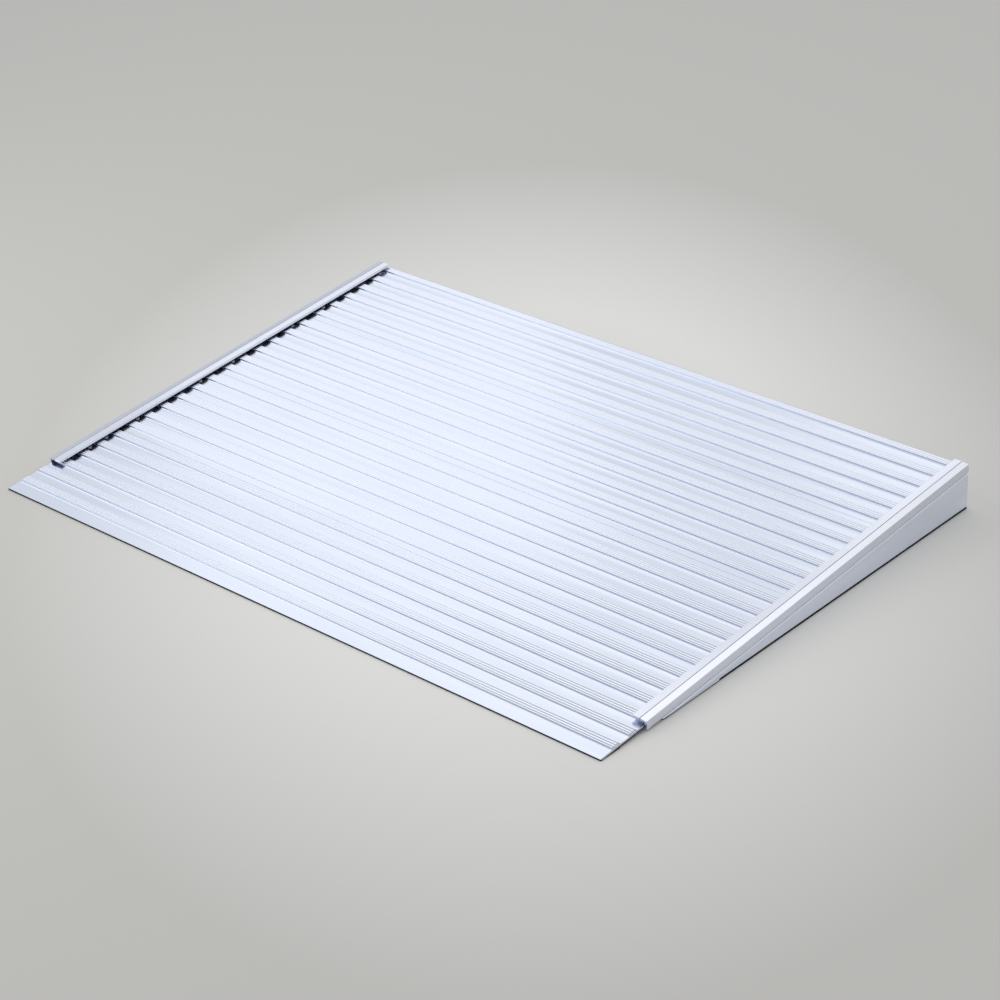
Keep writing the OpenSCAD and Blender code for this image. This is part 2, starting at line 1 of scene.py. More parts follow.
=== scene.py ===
"""Finished meshes, materials, floor, lamps and camera for an aluminium threshold ramp.

X runs across the ramp, +Y goes up the slope, +Z is up, all in metres.
Deck measures: u is the distance up the slope, v the height square to the plank floor.
"""
import math

import bmesh
import bpy
from bpy.props import FloatProperty, FloatVectorProperty, IntProperty, PointerProperty
from mathutils import Matrix, Vector


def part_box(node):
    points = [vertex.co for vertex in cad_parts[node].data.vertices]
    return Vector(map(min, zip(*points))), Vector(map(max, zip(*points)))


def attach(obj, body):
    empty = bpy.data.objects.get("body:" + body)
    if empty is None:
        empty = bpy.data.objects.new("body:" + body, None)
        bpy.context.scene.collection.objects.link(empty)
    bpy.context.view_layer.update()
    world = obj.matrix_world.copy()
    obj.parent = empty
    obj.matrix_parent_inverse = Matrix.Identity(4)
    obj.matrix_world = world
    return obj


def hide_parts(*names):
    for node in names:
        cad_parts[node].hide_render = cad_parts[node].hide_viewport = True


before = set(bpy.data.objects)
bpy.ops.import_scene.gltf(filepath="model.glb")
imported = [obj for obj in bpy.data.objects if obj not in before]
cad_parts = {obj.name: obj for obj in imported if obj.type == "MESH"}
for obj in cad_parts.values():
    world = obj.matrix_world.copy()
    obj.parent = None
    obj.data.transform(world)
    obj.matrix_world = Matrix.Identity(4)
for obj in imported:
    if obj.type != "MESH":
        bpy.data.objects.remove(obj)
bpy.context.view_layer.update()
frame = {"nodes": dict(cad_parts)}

bl_info = {
    "name": "Threshold ramp",
    "version": (1, 0, 0),
    "blender": (4, 5, 0),
    "location": "3D View > Sidebar > Ramp",
    "description": "Planks, edge trims, side panels and underside of a threshold ramp, with its stage",
    "category": "Object",
}

MM = 0.001

# Deck lengths along the slope
NOSE_LEAD = 18 * MM
NOSE_TAIL = 3.7 * MM
PLANK_LEAD = 9.4 * MM
PLANK_TAIL = 8.2 * MM
END_RIB = 10.9 * MM
END_ROUND = 2.4 * MM
NOSE_HEIGHT = 2.2 * MM
NOSE_LIP = 0.25 * MM
NOSE_UNDERCUT = 1 * MM

# Plank floor, the hooked lap under a joint, and the webs below the floor
FLOOR = 3 * MM
LAP_WIDTH = 8 * MM
LIP = 1.7 * MM
HOOK_WIDTH = 2 * MM
HOOK_HEIGHT = 0.6 * MM
HOOK_PLAY = 0.15 * MM
JOINTS = 3
JOINT_GAP = 0.2 * MM
WEBS = 3
WEB = 2.4 * MM
WEB_DEPTH = 7 * MM
FOOT_WIDTH = 12 * MM
FOOT = 2.2 * MM
WEB_LEAD = 14 * MM
WEB_TAIL = 11.4 * MM
WEB_CUT = 30 * MM
HEEL_BACK = 10.6 * MM
APRON_DEPTH = 17 * MM
STRIP = 1.4 * MM
SOLE = 2 * MM
SHEET = 2 * MM

# Bevel on the nose plank's ends, and the seat of the rubber below them
END_BEVEL_WIDTH = 2 * MM
END_BEVEL_DEPTH = 2.6 * MM
EDGE = 1.3 * MM
END_STRIP_WIDTH = 5 * MM
STRIP_PLAY = 0.1 * MM
OVER = 1 * MM

# Edge trim's lower half
TRIM_LOW_WIDTH = 27 * MM
TRIM_CLEAR = 2.1 * MM
TRIM_BACK = 2 * MM

# Softened corners of drawn sections, the share of the brow's radius that fits, and steps round a corner
ROOT_ROUND = 0.9 * MM
GROOVE_ROUND = 0.12 * MM
SECTION_ROUND = 0.4 * MM
TRIM_FOOT_ROUND = 0.5 * MM
FULL_ROUND = 0.999
PLANK_STEPS = 3
TRIM_STEPS = 6

# Hollow between two ribs: the power that makes it rise faster towards the next rib, and its steps
VALLEY_CURVE = 4
VALLEY_STEPS = 9

# Softened edges of folded, cut and moulded pieces
PANEL_ROUND = 0.3 * MM
FRAME_ROUND = 0.25 * MM
RUBBER_ROUND = 0.15 * MM
EDGE_STEPS = 2
SHARP_ANGLE = math.radians(40)
FLAT_ANGLE = math.radians(0.5)

# Rivet forms: the upright rim's share of a head's height, the dome's steps, and the digits of a length
RIM_SHARE = 0.3
DOME_STEPS = 5
RIVET_SIDES = 28
LENGTH_DIGITS = 5

# Distances within which points are merged
SECTION_WELD = 0.0005 * MM
RIB_WELD = 0.005 * MM
SOLID_WELD = 0.002 * MM

# Smooth shading: the angle past which an edge stays sharp, and how large faces pull the normals
SMOOTH_ANGLE = math.radians(32)
FLAT_WEIGHT = 100
EVEN_AREA = 10 * MM * MM

# Grain of the finishes: cells per metre along and across the lines, octaves of detail, and depth
STREAK_CELLS = (4, 60)
STREAK_DETAIL = 3
DIE_LINE_CELLS = (8, 1100)
DIE_LINE_DETAIL = 2
DIE_LINE_DEPTH = 0.008 * MM
SPECKLE_CELLS = (900, 900, 900)
SPECKLE_DETAIL = 4
SPECKLE_DEPTH = 0.08 * MM

# Noise: how rough it is, and the middle part of its values that is spread over a whole range
NOISE_ROUGH = 0.6
NOISE_LOW = 0.3
NOISE_HIGH = 0.7

# Roughness and gloss of the finishes
DECK_ROUGH = 0.2
CREST_ROUGH = 0.27
TRIM_ROUGH = 0.22
PANEL_ROUGH = 0.4
FRAME_ROUGH = 0.45
RIVET_ROUGH = 0.4
ROUGH_SPREAD = 0.05
RUBBER_ROUGH = (0.62, 0.8)
RUBBER_GLOSS = 0.25
FLOOR_ROUGH = 0.9
FLOOR_GLOSS = 0.1

# Shares of a colour in its streaks and its speckle, and of the groove colour in the painted shade of the
# trim's groove line
PANEL_DULL = 0.94
FRAME_DULL = 0.92
RIVET_DULL = 0.95
RUBBER_SHADES = (0.8, 1.3)
TRIM_LINE_PAINTED_SHADE = 0.75

# Shares of the rib height between which the floor's tone turns into the rib tops'
CREST_FADE = (0.55, 0.9)

# How far a groove's walls face up, square to the deck, and the play round that; these walls get painted
# shade
WALL_FACING = 0.7
WALL_PLAY = 0.2

# Softboxes: place, the point that each one faces, and size across and up
SOFTBOXES = {
    "back": ((-1.36, 1.02, 1.07), (-0.17, -0.11, -0.08), (0.75, 0.7)),
    "upper": ((-1.07, 0.74, 1.68), (0.12, -0.39, 0.53), (1.0, 0.65)),
    "side": ((-1.63, 0.38, 1.46), (-0.44, -0.75, 0.31), (0.55, 0.5)),
    "end": ((-0.63, 1.63, 1.25), (0.56, 0.5, 0.1), (0.35, 0.5)),
    "left": ((-0.96, -0.65, 0.8), (0.09, -0.05, 0.12), (1.15, 1.15)),
    "top": ((0.0, 0.75, 1.75), (0.0, 0.751, 0), (0.9, 1.3)),
}

# Room: the way to its brightest part, and how far a direction points that way where it brightens
ROOM_WAY = Vector((0, 0.35, 0.94)).normalized()
ROOM_FADE = (0.3, 0.94)

# Half width of the floor, and the camera's sensor in mm
FLOOR_HALF = 20.0
SENSOR_WIDTH = 36

WIDTH_OF_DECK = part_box("nose_plank")[1].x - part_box("nose_plank")[0].x


def length_property(name, description, default):
    return FloatProperty(name=name, description=description, default=default, unit="LENGTH")


def angle_property(name, description, degrees):
    turn = math.radians(degrees)
    return FloatProperty(name=name, description=description, default=turn, unit="ROTATION")


def power_property(name, description, default):
    return FloatProperty(name=name, description=description, default=default, unit="POWER")


def colour_property(name, description, default):
    return FloatVectorProperty(
        name=name, description=description, default=default, subtype="COLOR", size=3, min=0, max=1)


class RampDeckSizes(bpy.types.PropertyGroup):
    """Sizes of the ribbed planks"""
    width: length_property("Deck width", "Length of the planks, across the ramp", WIDTH_OF_DECK)
    slope: angle_property("Slope", "Rise of the deck", 4.5)
    ribs: IntProperty(name="Ribs", description="Ribs on each plank", default=6, min=2)
    rib_pitch: length_property("Rib pitch", "Distance from one rib to the next", 25 * MM)
    rib_width: length_property("Rib width", "Width of a rib across its foot", 10.8 * MM)
    rib_height: length_property("Rib height", "Height of a rib above the floor", 1.8 * MM)
    rib_lean: length_property("Rib lean", "How far a rib's faces lean in", 0.25 * MM)
    grooves: IntProperty(name="Grooves", description="Fine grooves on a rib", default=3, min=1)
    groove_pitch: length_property("Groove pitch", "Distance between grooves", 3.3 * MM)
    groove_lead: length_property("Groove lead", "From a rib's low face to its first groove", 2.4 * MM)
    groove_width: length_property("Groove width", "Width of a groove at its top", 1.3 * MM)
    groove_depth: length_property("Groove depth", "Depth of a groove", 0.7 * MM)
    edge_round: length_property("Edge rounding", "Radius of the ribs' upper edges", 0.22 * MM)
    dish: length_property("Dish", "Depth of the hollow between two ribs", 0.35 * MM)


class RampTrimSizes(bpy.types.PropertyGroup):
    """Sizes of the edge trims"""
    overhang: length_property("Overhang", "How far a trim stands out past the planks", 3 * MM)
    width: length_property("Width", "Width of a trim's top", 18.6 * MM)
    wall: length_property("Wall", "Thickness of a trim's walls", 2.2 * MM)
    gap: length_property("Gap", "Gap between the rib tops and the top wall", 1.9 * MM)
    band_width: length_property("Band width", "Width of the sloped outer band", 7.8 * MM)
    band_drop: length_property("Band drop", "How far the outer band slopes down", 1.2 * MM)
    band_round: length_property("Band rounding", "Radius of the band's outer edge", 0.8 * MM)
    line_width: length_property("Line width", "Width of the groove beside the band", 0.9 * MM)
    line_depth: length_property("Line depth", "Depth of the groove beside the band", 0.7 * MM)
    step_width: length_property("Step width", "Width of the step on the inner edge", 1.3 * MM)
    step_depth: length_property("Step depth", "Depth of the step on the inner edge", 1 * MM)


class RampRivetSizes(bpy.types.PropertyGroup):
    """Sizes of the rivets"""
    shank: length_property("Shank", "Radius of a large rivet", 2 * MM)
    head: length_property("Head", "Radius of a large rivet's head", 3.6 * MM)
    head_height: length_property("Head height", "Height of a large rivet's head", 1.3 * MM)
    tail: length_property("Closed end", "Radius of a large rivet's closed end", 3 * MM)
    clip_shank: length_property("Clip shank", "Radius of a clip rivet", 1.6 * MM)
    clip_head: length_property("Clip head", "Radius of a clip rivet's head", 2.8 * MM)
    clip_height: length_property("Clip head height", "Height of a clip rivet's head", 1 * MM)


class RampColours(bpy.types.PropertyGroup):
    """Colours of the ramp's finishes"""
    deck: colour_property("Deck", "Bright drawn aluminium of the planks", (0.81, 0.85, 0.95))
    deck_dull: colour_property("Deck streaks", "Duller streaks on the planks", (0.75, 0.80, 0.92))
    crest: colour_property("Rib tops", "Worn tops of the ribs", (0.825, 0.85, 0.94))
    # Painted shade for the walls of the fine grooves, and for the trim's groove line
    groove: colour_property("Grooves", "Grime in the fine grooves", (0.48, 0.51, 0.58))
    trim: colour_property("Trim", "Drawn aluminium of the edge trims", (0.81, 0.835, 0.925))
    trim_dull: colour_property("Trim streaks", "Duller streaks on the edge trims", (0.78, 0.80, 0.89))
    panel: colour_property("Panel", "Satin aluminium sheet of the side panels", (0.84, 0.885, 0.99))
    frame: colour_property("Frame", "Mill aluminium under the deck", (0.62, 0.63, 0.66))
    # Near-black rubber, which is also painted shadow where the strips and seals stand in for the shadow
    # under the nose and along the panels' edges
    rubber: colour_property("Rubber", "Rubber under the ramp", (0.012, 0.012, 0.013))
    # Darker than the other aluminium: painted shade, so the heads in the gap under the trims look shaded
    rivet: colour_property("Rivet", "Aluminium of the rivets", (0.42, 0.43, 0.45))
    # Painted light: the floor colour near the ramp fades to the dimmer edge colour further away
    floor: colour_property("Floor", "Pale grey studio floor near the ramp", (0.83, 0.812, 0.78))
    floor_past_painted_light: colour_property("Floor edge", "Studio floor away from the ramp", (0.595, 0.58, 0.545))


class RampStage(bpy.types.PropertyGroup):
    """Camera and lamps"""
    camera_place: FloatVectorProperty(
        name="Camera", description="Place of the camera",
        default=(1.8933, -1.98046, 1.5305), subtype="XYZ")
    camera_turn: angle_property("Azimuth", "Turn of the camera", 43.192)
    camera_tilt: angle_property("Elevation", "Downward tilt", 29.244)
    camera_roll: angle_property("Roll", "Roll of the camera", -2.889)
    camera_lens: FloatProperty(name="Lens", description="Focal length in mm", default=103.268)
    sky: colour_property("Bright side", "Light of the room overhead", (1.0, 1.0, 1.0))
    dim_sky: colour_property("Dim side", "Light of the room in front and low down", (0.46, 0.50, 0.56))
    back_power: power_property("Back softbox", "Power of the softbox behind the ramp", 0.42)
    upper_power: power_property("Upper softbox", "Power of the softbox above the back one", 0.43)
    side_power: power_property("Side softbox", "Power of the softbox left of the back one", 0.26)
    end_power: power_property("End softbox", "Power of the softbox past the high end", 0.12)
    left_power: power_property("Left softbox", "Power of the softbox in front on the left", 3.4)
    top_power: power_property("Top softbox", "Power of the softbox overhead", 0.9)
    # Painted light on the floor: reach, middle and stretch of its bright oval
    pool: FloatVectorProperty(
        name="Pool", description="Reach of the bright part of the floor, and where it has faded out",
        default=(0.28, 0.58), size=2, unit="LENGTH")
    painted_light_pool_place: FloatVectorProperty(
        name="Pool place", description="Middle of the bright part of the floor",
        default=(0.03, 0.07, 0), subtype="XYZ")
    painted_light_pool_stretch: FloatProperty(
        name="Pool stretch", description="How much longer the bright part is away from the camera",
        default=1.57)


def deck_origin(sizes):
    """Matrix from deck measures (x, u, v) to the ramp's frame."""
    run = deck_length(sizes) * math.cos(sizes.slope)
    return Matrix.Translation((0, -run / 2, NOSE_HEIGHT)) @ Matrix.Rotation(sizes.slope, 4, "X")


def rib_span(sizes):
    return (sizes.ribs - 1) * sizes.rib_pitch + sizes.rib_width


def joint_places(sizes):
    """Distances up the slope of the joints between planks."""
    nose_cover = NOSE_LEAD + rib_span(sizes) + NOSE_TAIL
    return [nose_cover + i * plank_cover(sizes) for i in range(JOINTS)]


def plank_cover(sizes):
    return PLANK_LEAD + rib_span(sizes) + PLANK_TAIL


def top_cover(sizes):
    return PLANK_LEAD + (sizes.ribs - 1) * sizes.rib_pitch + END_RIB


def deck_length(sizes):
    return joint_places(sizes)[-1] + top_cover(sizes)


def level(sizes, u, z):
    """Level v of a height z above the ground at u."""
    return (z - NOSE_HEIGHT - u * math.sin(sizes.slope)) / math.cos(sizes.slope)


def reach(sizes, z, v):
    """Distance u at which a level v is at a height z above the ground."""
    return (z - NOSE_HEIGHT - v * math.cos(sizes.slope)) / math.sin(sizes.slope)


# Node trees

def feed(tree, node, inputs):
    """Links a node's inputs to sockets, or sets them to plain values and colours."""
    for key, value in inputs.items():
        socket = node.inputs[key]
        if isinstance(value, bpy.types.NodeSocket):
            tree.links.new(value, socket)
        elif socket.type == "RGBA":
            socket.default_value = (*value, 1)
        else:
            socket.default_value = value


def add_node(tree, kind, inputs, **settings):
    """A new node with its settings and inputs."""
    node = tree.nodes.new(kind)
    for key, value in settings.items():
        setattr(node, key, value)
    feed(tree, node, inputs)
    return node


def merged(tree, parts, distance):
    """Joins several geometries and merges their points within a distance."""
    join = tree.nodes.new("GeometryNodeJoinGeometry")
    for part in parts:
        feed(tree, join, {"Geometry": part})
    merge = add_node(tree, "GeometryNodeMergeByDistance", {
        "Geometry": join.outputs["Geometry"], "Distance": distance})
    return merge.outputs["Geometry"]


def new_tree(name, inputs):
    """A tree with a geometry input and named inputs of given kinds, and their sockets in the tree."""
    tree = bpy.data.node_groups.new(name, "GeometryNodeTree")
    tree.interface.new_socket("Geometry", in_out="INPUT", socket_type="NodeSocketGeometry")
    for label, kind in inputs.items():
        tree.interface.new_socket(label, in_out="INPUT", socket_type=f"NodeSocket{kind}")
    return tree, tree.nodes.new("NodeGroupInput").outputs


def draw_section(tree, outline, length, steps):
    """Rounds the corners of a drawn outline, fills it and draws it out to a length."""
    corner = add_node(tree, "GeometryNodeInputNamedAttribute", {"Name": "corner"}, data_type="FLOAT")
    curve = add_node(tree, "GeometryNodeMeshToCurve", {"Mesh": outline})
    fillet = add_node(tree, "GeometryNodeFilletCurve", {
        "Curve": curve.outputs["Curve"], "Count": steps, "Radius": corner.outputs["Attribute"],
        "Limit Radius": True}, mode="POLY")
    fill = add_node(tree, "GeometryNodeFillCurve", {"Curve": fillet.outputs["Curve"]}, mode="NGONS")
    face = fill.outputs["Mesh"]
    drawn = add_node(tree, "GeometryNodeExtrudeMesh", {
        "Mesh": face, "Offset Scale": length, "Individual": False}, mode="FACES")
    cap = add_node(tree, "GeometryNodeFlipFaces", {"Mesh": face})
    return merged(tree, (drawn.outputs["Mesh"], cap.outputs["Mesh"]), SECTION_WELD)


def end_tree(tree, geometry, material):
    """Realizes the instances and sets the material."""
    tree.interface.new_socket("Geometry", in_out="OUTPUT", socket_type="NodeSocketGeometry")
    real = add_node(tree, "GeometryNodeRealizeInstances", {"Geometry": geometry})
    finish = add_node(tree, "GeometryNodeSetMaterial", {
        "Geometry": real.outputs["Geometry"], "Material": material})
    add_node(tree, "NodeGroupOutput", {"Geometry": finish.outputs["Geometry"]})


def section_tree():
    """Drawn section: one outline, rounded and drawn out to a length. Planks and trims share it."""
    made = bpy.data.node_groups.get("Drawn section")
    if made:
        return made
    tree, given = new_tree("Drawn section", {
        "Length": "Float", "Corner steps": "Int", "Material": "Material"})
    drawn = draw_section(tree, given["Geometry"], given["Length"], given["Corner steps"])
    end_tree(tree, drawn, given["Material"])
    return tree


def plank_tree():
    """Ribbed plank: ribs repeated along the floor's outline, then rounded and drawn out."""
    tree, given = new_tree("Ribbed plank", {
        "Rib": "Object", "Rib count": "Int", "First rib": "Vector", "Rib pitch": "Vector",
        "Length": "Float", "Corner steps": "Int", "Material": "Material"})
    rib = add_node(tree, "GeometryNodeObjectInfo", {"Object": given["Rib"]})
    row = add_node(tree, "GeometryNodeMeshLine", {
        "Count": given["Rib count"], "Start Location": given["First rib"],
        "Offset": given["Rib pitch"]}, mode="OFFSET")
    placed = add_node(tree, "GeometryNodeInstanceOnPoints", {
        "Points": row.outputs["Mesh"], "Instance": rib.outputs["Geometry"]})
    real = add_node(tree, "GeometryNodeRealizeInstances", {"Geometry": placed.outputs["Instances"]})
    outline = merged(tree, (given["Geometry"], real.outputs["Geometry"]), RIB_WELD)
    drawn = draw_section(tree, outline, given["Length"], given["Corner steps"])
    end_tree(tree, drawn, given["Material"])
    return tree


def rivet_tree():
    """Placed rivets: one rivet on each point, turned to the point's axis."""
    tree, given = new_tree("Placed rivets", {"Rivet": "Object", "Material": "Material"})
    rivet = add_node(tree, "GeometryNodeObjectInfo", {"Object": given["Rivet"]})
    axis = add_node(tree, "GeometryNodeInputNamedAttribute", {"Name": "axis"}, data_type="FLOAT_VECTOR")
    turn = add_node(
        tree, "FunctionNodeAlignRotationToVector", {"Vector": axis.outputs["Attribute"]}, axis="Z")
    placed = add_node(tree, "GeometryNodeInstanceOnPoints", {
        "Points": given["Geometry"], "Instance": rivet.outputs["Geometry"],
        "Rotation": turn.outputs["Rotation"]})
    end_tree(tree, placed.outputs["Instances"], given["Material"])
    return tree


# Meshes

def outline_mesh(name, points, closed=True):
    """Edges through (across, up, corner radius) points."""
    count = len(points)
    edges = [(i, i + 1) for i in range(count - 1)]
    if closed:
        edges.append((count - 1, 0))
    mesh = bpy.data.meshes.new(name)
    mesh.from_pydata([(a, b, 0) for a, b, _ in points], edges, [])
    corner = mesh.attributes.new("corner", "FLOAT", "POINT")
    corner.data.foreach_set("value", [r for _, _, r in points])
    return mesh


def new_object(name, mesh):
    piece = bpy.data.objects.new(name, mesh)
    bpy.context.scene.collection.objects.link(piece)
    return piece


def drop(piece):
    mesh = piece.data
    bpy.data.objects.remove(piece)
    bpy.data.meshes.remove(mesh)


def settle(piece):
    """Turns a piece with modifiers into a plain mesh."""
    graph = bpy.context.evaluated_depsgraph_get()
    mesh = bpy.data.meshes.new_from_object(piece.evaluated_get(graph))
    old = piece.data
    piece.modifiers.clear()
    piece.data = mesh
    mesh.name = piece.name
    bpy.data.meshes.remove(old)
    if not mesh.polygons:
        raise RuntimeError(f"{piece.name} came out empty")
    return piece


def run_tree(piece, tree, **values):
    """Runs a node tree on a piece and keeps the result as its mesh."""
    sockets = {item.name: item.identifier for item in tree.interface.items_tree if item.in_out == "INPUT"}
    modifier = piece.modifiers.new(tree.name, "NODES")
    modifier.node_group = tree
    for name, value in values.items():
        modifier[sockets[name.replace("_", " ")]] = value
    return settle(piece)


def place_across(piece, sizes, length):
    """Moves a section drawn from (u, v) to its place across the ramp."""
    turn = Matrix(((0, 0, 1, -length / 2), (1, 0, 0, 0), (0, 1, 0, 0), (0, 0, 0, 1)))
    piece.data.transform(deck_origin(sizes) @ turn)


def place_along(piece, sizes, end):
    """Moves a section drawn from (x, v) to its place along the slope, with its high end at u = end."""
    turn = Matrix.Translation((0, end, 0)) @ Matrix.Rotation(math.pi / 2, 4, "X")
    piece.data.transform(deck_origin(sizes) @ turn)


def shade(piece):
    """Outward normals, smooth shading that keeps flat faces flat, and sharp edges past an angle."""
    work = bmesh.new()
    work.from_mesh(piece.data)
    bmesh.ops.recalc_face_normals(work, faces=work.faces)
    work.to_mesh(piece.data)
    work.free()
    piece.data.shade_smooth()
    piece.data.set_sharp_from_angle(angle=SMOOTH_ANGLE)
    even = piece.modifiers.new("even", "WEIGHTED_NORMAL")
    even.keep_sharp = True
    even.weight = FLAT_WEIGHT
    even.thresh = EVEN_AREA
    settle(piece)


def combine(piece, others, operation):
    """Joins closed shapes to a piece's skin, or cuts them out of it."""
    for other in others:
        modifier = piece.modifiers.new(operation, "BOOLEAN")
        modifier.operation = operation
        modifier.solver = "EXACT"
        modifier.object = other
    if others:
        settle(piece)
    for other in others:
        drop(other)


def dress(piece, node):
    """Puts a finished piece on the ramp in place of its plain solid."""
    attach(piece, "root")
    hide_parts(node)


def softened(node, name, radius, material):
    """A copy of a solid with its triangles merged and its sharp edges rounded."""
    work = bmesh.new()
    work.from_mesh(frame["nodes"][node].data)
    bmesh.ops.remove_doubles(work, verts=work.verts, dist=SOLID_WELD)
    bmesh.ops.dissolve_limit(work, angle_limit=FLAT_ANGLE, verts=work.verts, edges=work.edges)
    sharp = [e for e in work.edges if e.is_manifold and e.calc_face_angle(0) > SHARP_ANGLE]
    bmesh.ops.bevel(work, geom=sharp, offset=radius, segments=EDGE_STEPS, profile=0.5,
                    affect="EDGES", clamp_overlap=True)
    bmesh.ops.triangulate(work, faces=[f for f in work.faces if len(f.verts) > 4])
    mesh = bpy.data.meshes.new(name)
    work.to_mesh(mesh)
    work.free()
    mesh.materials.clear()
    mesh.materials.append(material)
    piece = new_object(name, mesh)
    shade(piece)
    return piece


# Planks

def rib_points(sizes, start, grooves, back=True):
    """Top outline of one rib, from its low face on."""
    top = sizes.rib_height
    half = sizes.groove_width / 2
    points = [(start, 0, ROOT_ROUND), (start + sizes.rib_lean, top, sizes.edge_round)]
    for i in range(grooves):
        middle = start + sizes.groove_lead + i * sizes.groove_pitch
        points += [
            (middle - half, top, sizes.edge_round),
            (middle, top - sizes.groove_depth, GROOVE_ROUND),
            (middle + half, top, sizes.edge_round)]
    if back:
        foot = start + sizes.rib_width
        points += [(foot - sizes.rib_lean, top, sizes.edge_round), (foot, 0, ROOT_ROUND)]
    return points


def valley_points(sizes):
    """Shallow hollow from a rib's foot to the next rib, which rises faster towards that rib."""
    span = sizes.rib_pitch - sizes.rib_width
    deepest = VALLEY_CURVE / (VALLEY_CURVE + 1) ** (1 + 1 / VALLEY_CURVE)
    points = []
    for i in range(1, VALLEY_STEPS):
        share = i / VALLEY_STEPS
        depth = sizes.dish * share * (1 - share ** VALLEY_CURVE) / deepest
        points.append((sizes.rib_width + span * share, -depth, 0))
    return points


def ledge_points(u):
    """Hooked ledge on a plank's high side."""
    hook = u + LAP_WIDTH - HOOK_WIDTH
    end = u + LAP_WIDTH
    return [
        (u, 0, GROOVE_ROUND), (u, -LIP, 0), (hook, -LIP, 0), (hook, HOOK_HEIGHT - LIP, 0),
        (end, HOOK_HEIGHT - LIP, 0), (end, -FLOOR, 0)]


def lip_points():
    """Grooved lip on a plank's low side, which covers the ledge below."""
    high = LAP_WIDTH + HOOK_PLAY
    low = LAP_WIDTH - HOOK_WIDTH - HOOK_PLAY
    top = HOOK_HEIGHT + HOOK_PLAY - LIP
    return [
        (high, -FLOOR, 0), (high, top, 0), (low, top, 0), (low, -LIP, 0),
        (JOINT_GAP, -LIP, 0), (JOINT_GAP, 0, GROOVE_ROUND)]


def web_points(u):
    """Web below the floor, with a foot that points down the slope."""
    foot = -FLOOR - WEB_DEPTH
    return [
        (u - WEB, -FLOOR / 2, 0), (u, -FLOOR / 2, 0), (u, foot, SECTION_ROUND),
        (u - FOOT_WIDTH, foot, SECTION_ROUND), (u - FOOT_WIDTH, foot + FOOT, SECTION_ROUND),
        (u - WEB, foot + FOOT, SECTION_ROUND)]


def heel_points(sizes):
    """Leg under the nose plank's high side, whose foot lies level."""
    heel = joint_places(sizes)[0] - HEEL_BACK
    toe = heel - FOOT_WIDTH
    neck = heel - WEB
    return [
        (neck, -FLOOR / 2, 0), (heel, -FLOOR / 2, 0), (heel, level(sizes, heel, SOLE), SECTION_ROUND),
        (toe, level(sizes, toe, SOLE), SECTION_ROUND),
        (toe, level(sizes, toe, SOLE + FOOT), SECTION_ROUND),
        (neck, level(sizes, neck, SOLE + FOOT), SECTION_ROUND)]


def end_u(sizes, v):
    """Upright line of the deck's high end, from the top plank's joint."""
    return top_cover(sizes) + v * math.tan(sizes.slope)


def apron_points(sizes):
    """Upright apron below the deck's high edge."""
    back = SHEET / math.cos(sizes.slope)
    high, low = -FLOOR / 2, -APRON_DEPTH
    return [
        (end_u(sizes, high), high, 0), (end_u(sizes, low), low, SECTION_ROUND),
        (end_u(sizes, low) - back, low, SECTION_ROUND), (end_u(sizes, high) - back, high, 0)]


def web_places(sizes):
    step = (plank_cover(sizes) - WEB_LEAD - WEB_TAIL) / (WEBS - 1)
    return [WEB_LEAD + i * step for i in range(WEBS)]


def nose_outline(sizes):
    """Nose plank past its repeated ribs: last rib, ledge, underside and undercut low edge."""
    last = NOSE_LEAD + (sizes.ribs - 1) * sizes.rib_pitch
    return rib_points(sizes, last, sizes.grooves) + ledge_points(joint_places(sizes)[0]) + [
        (reach(sizes, STRIP, -FLOOR), -FLOOR, 0), (NOSE_UNDERCUT, level(sizes, NOSE_UNDERCUT, STRIP), 0),
        (0, -NOSE_LIP, 0), (0, 0, GROOVE_ROUND), (NOSE_LEAD, 0, ROOT_ROUND)]


def middle_outline(sizes):
    """Plank between two others, past its repeated ribs: last rib, ledge and lip."""
    last = PLANK_LEAD + (sizes.ribs - 1) * sizes.rib_pitch
    return rib_points(sizes, last, sizes.grooves) + ledge_points(plank_cover(sizes)) + lip_points() + [
        (PLANK_LEAD, 0, ROOT_ROUND)]


def top_outline(sizes):
    """Top plank past its repeated ribs: last rib with its rounded brow, and lip."""
    last = PLANK_LEAD + (sizes.ribs - 1) * sizes.rib_pitch
    room = END_RIB - END_ROUND - sizes.groove_lead - sizes.groove_width / 2
    grooves = math.floor(room / sizes.groove_pitch) + 1
    brow = end_u(sizes, sizes.rib_height - END_ROUND)
    return rib_points(sizes, last, grooves, back=False) + [
        (brow, sizes.rib_height, END_ROUND * FULL_ROUND), (brow, sizes.rib_height - END_ROUND, 0),
        (end_u(sizes, -FLOOR), -FLOOR, 0)] + lip_points() + [(PLANK_LEAD, 0, ROOT_ROUND)]


def shifted(points, u):
    return [(a + u, b, r) for a, b, r in points]


def trim_low(deck, trim):
    """Distance up the slope of the trims' low ends."""
    return reach(deck, TRIM_CLEAR, -FLOOR - trim.wall)


